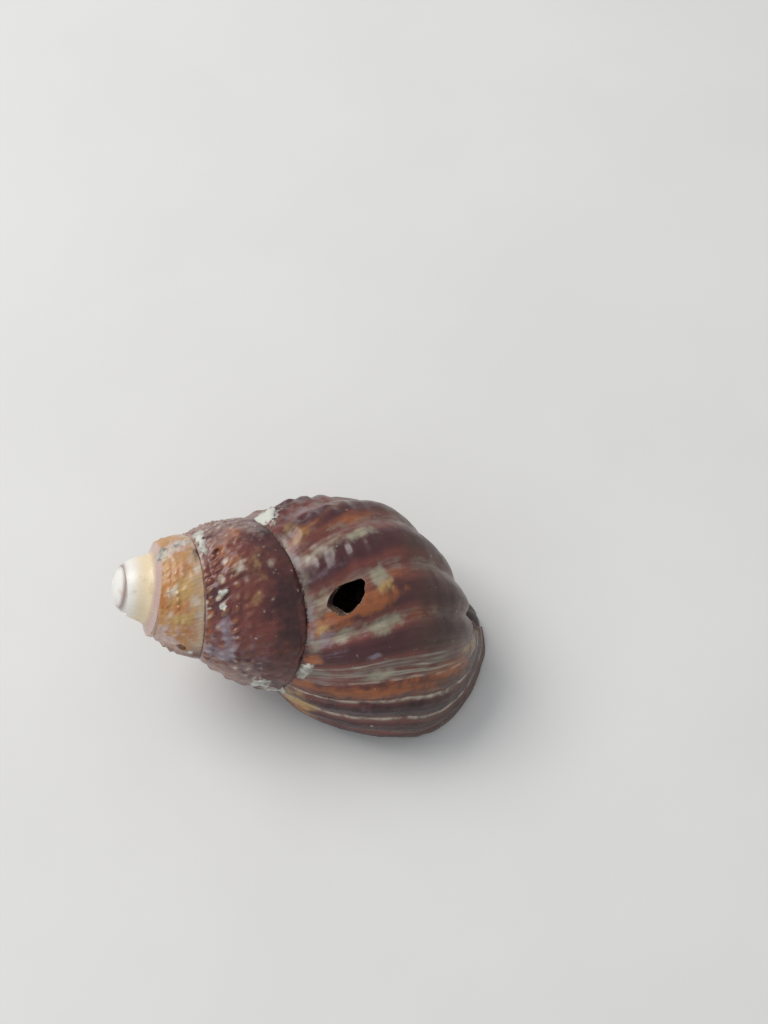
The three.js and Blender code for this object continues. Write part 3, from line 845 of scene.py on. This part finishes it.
def last_whorl_colours(f, hue):
    """The last whorl: ribs of purple-brown and orange, olive wear on the lower half, dry residue in the
    grooves, pale lines near the lip and a dusty band."""
    crest = f.spread(f.plus(f.rib, f.coarse, 0.8), 0.6, 1.2)
    skin = f.mix(crest, hue.maroon, hue.purple_brown)
    orange = f.spread(f.stirred(f.field("orange_rib"), f.bands, 0.7), 0.25, 0.75)
    skin = f.mix(f.times(orange, 0.75), skin, hue.rust_orange)
    worn_low = f.spread(f.plus(f.across, f.coarse, 0.4), 0.48, 0.75)
    skin = f.mix(f.times(worn_low, 0.6), skin, hue.olive_brown)
    skin = f.mix(f.broken("orange_mark", f.streaky, 0.5, 0.1, 0.85), skin, hue.rust_orange)
    skin = f.mix(f.times(f.dry, f.last), skin, hue.groove_grey)
    wavy = f.plus(f.plus(LIP_ANGLE - 1.5, f.growth, -360.0), f.coarse, 3.0)
    for crack, width, strength in DRY_LINES:
        near = f.times(f.spread(f.away(wavy, crack), width, 0.1), strength)
        skin = f.mix(f.times(near, f.spread(f.middle, 0.36, 0.6, 0.1, 0.95)), skin, hue.bead_cream)
    middle, end, full = DUSTY_BAND
    band = f.times(f.spread(f.away(wavy, middle), end, full), f.spread(f.threads, 0.4, 0.56, 0.1, 0.9))
    band = f.times(band, f.spread(f.coarse, 0.36, 0.56, 0.4, 1.0))
    dusty = f.mix(f.spread(f.threads, 0.52, 0.7, 0.0, 0.5), hue.groove_grey, hue.bead_cream)
    return f.mix(f.times(band, f.spread(f.across, 0.75, 0.45)), skin, dusty)


def spire_colours(f, hue):
    """The spire: a maroon whorl with painted light on its bead crests and painted shade between them, and
    an amber one with a faded lower edge, then pink and dark patches over both, and cream tips on chance
    beads, more of them near the suture."""
    second = f.mix(f.spread(f.coarse, 0.4, 0.66), hue.maroon, hue.purple_brown)
    # Painted light and shade on the beads: amber on their crests, maroon left between them, strongest near
    # the suture.
    bead_light_and_shade = f.times(f.spread(f.bead, 0.25, 0.9), f.spread(f.across, 0.08, 0.3, 0.3, 0.06))
    second = f.mix(bead_light_and_shade, second, hue.amber)
    second = f.mix(f.broken("orange_mark", f.middle, 0.7, 0.2, 0.8), second, hue.rust_orange)
    amber = f.mix(f.spread(f.coarse, 0.46, 0.7), hue.amber, hue.bright_orange)
    amber = f.mix(f.broken("orange_mark", f.middle, 0.6, 0.2, 0.8), amber, hue.bright_orange)
    faded = f.times(f.spread(f.plus(f.across, f.middle, 0.4), 0.36, 0.62), 0.6)
    amber = f.mix(faded, amber, hue.bead_cream)
    spire = f.mix(f.third, second, amber)
    pink = f.times(f.broken("pink_mark", f.middle, 0.7, 0.15, 0.8), f.spread(f.third, 0.0, 1.0, 0.38, 1.0))
    spire = f.mix(pink, spire, hue.collar_pink)
    shadow = f.broken("dark_mark", f.coarse, 0.4, 0.0, 1.1)
    spire = f.mix(shadow, spire, hue.seam_dark)
    chance = f.stirred(f.spread(f.across, 0.05, 0.2, 0.22, 0.0), f.coarse, 2.6)
    tips = f.plus(f.bead, f.stirred(f.plus(chance, shadow, -0.5), f.middle, 1.6))
    return f.mix(f.times(f.spread(tips, 0.85, 1.5), 0.8), spire, hue.bead_cream)


def marked(f, hue, skin):
    """Marks, residues and a painted sheen over the whorls' colours, ending with the collar under the tip."""
    dark = f.times(f.broken("dark_mark", f.streaky, 0.7, 0.1, 0.9), f.last)
    skin = f.mix(dark, skin, hue.seam_dark)
    ochre = f.broken("ochre_mark", f.middle, 0.8, 0.1, 0.95)
    skin = f.mix(f.times(ochre, 0.85), skin, hue.ochre)
    # Painted sheen: bluish reflected light laid over the marks, stronger on the bead tips.
    sheen = f.broken("sheen_mark", f.middle, 1.2, 0.25, 0.9)
    sheen = f.times(sheen, f.spread(f.bead, 0.0, 0.8, 0.55, 0.9))
    skin = f.mix(sheen, skin, hue.lavender)
    # Pale worn patches, and on the second whorl a few small painted glints.
    pale = f.broken("pale_and_glint_mark", f.streaky, 0.8, 0.1, 0.95)
    skin = f.mix(f.times(pale, 0.85), skin, f.mix(f.last, hue.bead_cream, hue.pale_green))
    residue = f.broken("under_seam", f.middle, 1.8, 0.4, 1.2)
    residue = f.times(residue, f.spread(f.last, 0.0, 1.0, 0.7, 0.8))
    skin = f.mix(residue, skin, f.mix(f.last, hue.collar_pink, hue.groove_grey))
    skin = f.mix(f.broken("over_seam", f.fine, 0.4, 0.4, 0.85), skin, hue.seam_dark)
    return f.mix(f.broken("collar", f.middle, 0.4, 0.2, 0.8), skin, hue.collar_pink)


def skin_finish(hue):
    """The outer skin: the whorls' colours and marks, growth lines, specks, crust and the ivory tip, in a
    semi-gloss that is dull on crust and dry residue."""
    f = Skin()
    skin = marked(f, hue, f.mix(f.last, spire_colours(f, hue), last_whorl_colours(f, hue)))
    skin = f.shaded(skin, f.spread(f.lines, 0.3, 0.7, 0.86, 1.12))
    specks = f.times(f.spread(f.fine, 0.66, 0.74), f.spread(f.middle, 0.48, 0.62, 0.0, 0.6))
    skin = f.mix(specks, skin, hue.bead_cream)
    rough_edge = f.plus(f.times(f.middle, 0.5), f.fine, 0.5)
    crust = f.broken("crust_mark", rough_edge, 1.5, 0.25, 0.6)
    skin = f.mix(crust, skin, f.mix(f.spread(f.middle, 0.45, 0.75), hue.crust_white, hue.groove_grey))
    ivory = f.mix(f.times(f.field("nub"), 0.9), hue.ivory, hue.nub_white)
    ivory = f.mix(f.spread(f.middle, 0.55, 0.75, 0.0, 0.4), ivory, hue.ochre)
    skin = f.mix(f.field("ivory"), skin, ivory)
    skin = f.mix(f.times(f.field("tip_line"), 0.75), skin, hue.maroon)

    rough = f.math("MAXIMUM", f.spread(f.middle, 0.3, 0.7, 0.2, 0.38), f.times(crust, 0.8))
    rough = f.math("MAXIMUM", rough, f.times(f.dry, 0.65))
    grain = f.plus(f.times(f.middle, 0.6), f.lines, 0.5)
    grain = f.plus(grain, f.fine, f.spread(crust, 0.1, 0.6, 0.1, 1.2))
    return f.coat(skin, rough, grain, 0.5, 0.00006)


def lining_finish(hue):
    """The mouth's glossy lining: purple-brown with dark clouds and long pale streaks."""
    f = Finish("mouth_lining")
    cloud = f.noise(f.place, 300, 4)
    streak = f.noise(f.node("Mapping", [("Vector", f.place), ("Scale", (900, 250, 250))]).outputs[0], 1.0)
    skin = f.mix(f.spread(cloud, 0.35, 0.65), hue.lining, hue.seam_dark)
    skin = f.mix(f.spread(streak, 0.5, 0.75, 0.0, 0.5), skin, hue.collar_pink)
    return f.coat(skin, f.spread(cloud, 0.3, 0.7, 0.16, 0.3), streak, 0.25, 0.00005)


def broken_finish(hue):
    """The wall where the hole was bored: dull brown with dark clouds and pale grains."""
    f = Finish("broken_wall")
    cloud, grain = f.noise(f.place, 900, 4), f.noise(f.place, 2600)
    skin = f.mix(f.spread(cloud, 0.35, 0.65), hue.broken_wall, hue.seam_dark)
    skin = f.mix(f.spread(grain, 0.56, 0.66), skin, hue.bead_cream)
    return f.coat(skin, f.spread(cloud, 0.3, 0.7, 0.5, 0.8), grain, 0.8, 0.00012)


def floor_finish(pale):
    """The pale floor: nearly plain, faintly clouded."""
    f = Finish("pale_floor")
    cloud = f.spread(f.noise(f.place, 60), 0.3, 0.7, 0.97, 1.0)
    f.put(f.shader.inputs["Base Color"], f.shaded(pale, cloud))
    f.put(f.shader.inputs["Roughness"], 0.6)
    return f.material


def turned(name, pairs, around, finish):
    """A solid turned round the shell's axis from pairs of depth and radius."""
    return closed_solid(name, at_rest(turned_rows(pairs, around)), finish)


def oval(name, size, middle, finish):
    """An oval ball in the shell's own frame, from its half sizes and its middle."""
    return closed_solid(name, at_rest(oval_rows(size, 22, 40) + np.array(middle)), finish)


def on_skin(name, rows, spiral, turn, across, finish):
    """A solid set on the skin, its rows counted down the whorl, along it and out of it."""
    axes, start = spiral.surface_frame(turn, across)
    return closed_solid(name, at_rest(rows @ axes + start), finish)


def half_whorls(spiral, skin):
    """The shell's outside, one closed solid for each half whorl from the lip up."""
    halves = []
    for i, stride in enumerate(HALF_WHORL_STEPS):
        steps = np.arange(-(i + 1) * 180, -i * 180 + 1, stride)
        rows = spiral.whorl_rows((steps + LIP_ANGLE) / 360, SECTION_POINTS)
        halves.append(closed_solid(f"half_whorl_{i}", at_rest(rows), skin))
    return halves


def solids_added(skin, lining):
    """The pillar and its foot, and a knob just inside the worn tip that fills the first whorls."""
    inner_tip = [[depth + 0.08, radius * 0.96] for depth, radius in WORN_TIP[:6]]
    inner_tip.append([7, 0.5])
    return [
        turned("pillar", smooth_line(PILLAR, 70), 60, lining),
        turned("knob", smooth_line(inner_tip, 50), 90, skin),
        oval("pillar_foot", *PILLAR_FOOT, skin),
    ]


def solids_taken(spiral, sizes, skin, lining, broken):
    """The hollow, the notch at the mouth's end, the bored hole and the pits."""
    start, end, stride = HOLLOW_REACH
    growths = np.arange(start, end, stride) / 360 + LIP_ANGLE / 360
    taken = [
        closed_solid("hollow", at_rest(spiral.hollow_rows(growths, 22)), lining),
        oval("notch", *NOTCH, lining),
        on_skin("bored_hole", bore_rows(sizes), spiral, *HOLE_PLACE, broken),
    ]
    for k, (turn, across, radius, depth) in enumerate(PITS):
        rows = oval_rows((radius, radius * 0.8, depth), 12, 30)
        taken.append(on_skin(f"pit_{k}", rows, spiral, turn, across, skin))
    return taken


def worn_envelope(finish):
    """All that wear leaves: a body turned from the worn tip's line, with a straight wall from there down
    past the mouth."""
    past_mouth = [40, WORN_TIP[-1][1]]
    return turned("worn_envelope", [*smooth_line(WORN_TIP, 90), past_mouth], 120, finish)


def ground(finish):
    """A block under the table, which cuts the resting flats."""
    half, depth = 30, 10
    corners = np.array([[-half, -half, 0], [half, -half, 0], [half, half, 0], [-half, half, 0]], float)
    return closed_solid("ground", np.stack([corners - [0, 0, depth], corners]), finish)


class MUDSNAIL_OT_grow_shell(bpy.types.Operator):
    """Grow the shell as one closed piece, with its relief, hollow, hole, crust and colours"""

    bl_idname = "mud_snail.grow_shell"
    bl_label = "Grow the shell"
    bl_options = {"REGISTER", "UNDO"}

    def execute(self, context):
        sizes, hue = context.scene.mud_snail_sizes, context.scene.mud_snail_colours
        spiral = Spiral(sizes)
        skin, lining, broken = skin_finish(hue), lining_finish(hue), broken_finish(hue)
        halves = half_whorls(spiral, skin)
        added = solids_added(skin, lining)
        taken = solids_taken(spiral, sizes, skin, lining, broken)
        mesh = cut_and_joined(halves[0], [
            ("UNION", gathered("joined", halves[1:] + added)),
            ("INTERSECT", gathered("kept_within", [worn_envelope(skin)])),
            ("DIFFERENCE", gathered("taken_away", taken)),
            ("DIFFERENCE", gathered("under_table", [ground(skin)])),
        ])
        keep_largest_part(mesh)
        if len(mesh.polygons) < 1000:
            raise RuntimeError("the shell came out empty: its solids didn't join")
        for name, values in skin_fields(spiral, points_of(mesh)).items():
            field = mesh.attributes.new(name, "FLOAT", "POINT")
            field.data.foreach_set("value", values.astype(np.float32))
        mesh.transform(Matrix.Scale(0.001, 4))
        mesh.polygons.foreach_set("use_smooth", np.ones(len(mesh.polygons), bool))
        mesh.set_sharp_from_angle(angle=np.radians(42))
        mesh.update()
        mesh.name = "snail_shell"
        shell = bpy.data.objects.new("snail_shell", mesh)
        context.scene.collection.objects.link(shell)
        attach(shell, "root")
        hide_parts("shell")
        return {"FINISHED"}


class MUDSNAIL_OT_set_stage(bpy.types.Operator):
    """Lay the pale floor and set the soft lamps, the sky and the camera"""

    bl_idname = "mud_snail.set_stage"
    bl_label = "Set the stage"
    bl_options = {"REGISTER", "UNDO"}

    def execute(self, context):
        scene, look = context.scene, context.scene.mud_snail_stage
        count = 7
        side = np.linspace(-FLOOR_HALF, FLOOR_HALF, count)
        x, y = np.meshgrid(side, side)
        points = np.stack([x, y, np.full_like(x, -FLOOR_DROP)], -1).reshape(-1, 3)
        corner = np.arange(count * count).reshape(count, count)
        faces = np.stack([corner[:-1, :-1], corner[:-1, 1:], corner[1:, 1:], corner[1:, :-1]], -1)
        mesh = bpy.data.meshes.new("floor")
        mesh.from_pydata(points.tolist(), [], faces.reshape(-1, 4).tolist())
        mesh.materials.append(floor_finish(look.floor_colour))
        floor = bpy.data.objects.new("floor", mesh)
        scene.collection.objects.link(floor)

        self.lamp(scene, "soft_lamp", *SOFT_LAMP, look.lamp_power)
        self.lamp(scene, "fill_lamp", *FILL_LAMP, look.fill_power)
        sky = bpy.data.worlds.new("studio_sky")
        sky.use_nodes = True
        back = sky.node_tree.nodes["Background"]
        back.inputs["Color"].default_value = (*SKY_COLOUR, 1)
        back.inputs["Strength"].default_value = look.sky_strength
        scene.world = sky

        lens = bpy.data.cameras.new("camera")
        lens.lens, lens.sensor_width = CAMERA_LENS, 36
        lens.clip_start, lens.clip_end = 0.002, 20
        camera = bpy.data.objects.new("camera", lens)
        scene.collection.objects.link(camera)
        axes = zip(CAMERA_RIGHT, CAMERA_UP, CAMERA_BACK, CAMERA_PLACE)
        camera.matrix_world = Matrix([*axes, (0, 0, 0, 1)])
        scene.camera = camera
        scene.view_settings.view_transform = "Standard"
        return {"FINISHED"}

    def lamp(self, scene, name, place, size, tone, power):
        """A square lamp that faces the shell."""
        light = bpy.data.lights.new(name, "AREA")
        light.size, light.energy, light.color = size, power, tone
        lamp = bpy.data.objects.new(name, light)
        scene.collection.objects.link(lamp)
        back = np.array(place) - np.array(LAMP_AIM)
        back = back / np.linalg.norm(back)
        right = np.cross([0, 0, 1], back)
        right = right / np.linalg.norm(right)
        up = np.cross(back, right)
        lamp.matrix_world = Matrix([*zip(right, up, back, place), (0, 0, 0, 1)])


class MUDSNAIL_PT_panel(bpy.types.Panel):
    """The shell's sizes, colours and stage"""

    bl_idname = "MUDSNAIL_PT_panel"
    bl_label = "Mud snail shell"
    bl_space_type = "VIEW_3D"
    bl_region_type = "UI"
    bl_category = "Mud snail"

    def draw(self, context):
        layout, scene = self.layout, context.scene
        layout.operator(MUDSNAIL_OT_grow_shell.bl_idname)
        layout.operator(MUDSNAIL_OT_set_stage.bl_idname)
        for group in (scene.mud_snail_sizes, scene.mud_snail_colours, scene.mud_snail_stage):
            box = layout.box()
            for key in group.__annotations__:
                box.prop(group, key)


CLASSES = (ShellSizes, ShellColours, StageLook, MUDSNAIL_OT_grow_shell, MUDSNAIL_OT_set_stage,
           MUDSNAIL_PT_panel)


def register():
    """Registers the classes and gives the scene its settings."""
    for kind in CLASSES:
        bpy.utils.register_class(kind)
    bpy.types.Scene.mud_snail_sizes = bpy.props.PointerProperty(type=ShellSizes)
    bpy.types.Scene.mud_snail_colours = bpy.props.PointerProperty(type=ShellColours)
    bpy.types.Scene.mud_snail_stage = bpy.props.PointerProperty(type=StageLook)


def unregister():
    """Takes the settings and the classes away again."""
    del bpy.types.Scene.mud_snail_stage
    del bpy.types.Scene.mud_snail_colours
    del bpy.types.Scene.mud_snail_sizes
    for kind in reversed(CLASSES):
        bpy.utils.unregister_class(kind)


def main():
    """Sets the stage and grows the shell."""
    register()
    bpy.ops.mud_snail.set_stage()
    bpy.ops.mud_snail.grow_shell()


if __name__ == "__main__":
    main()
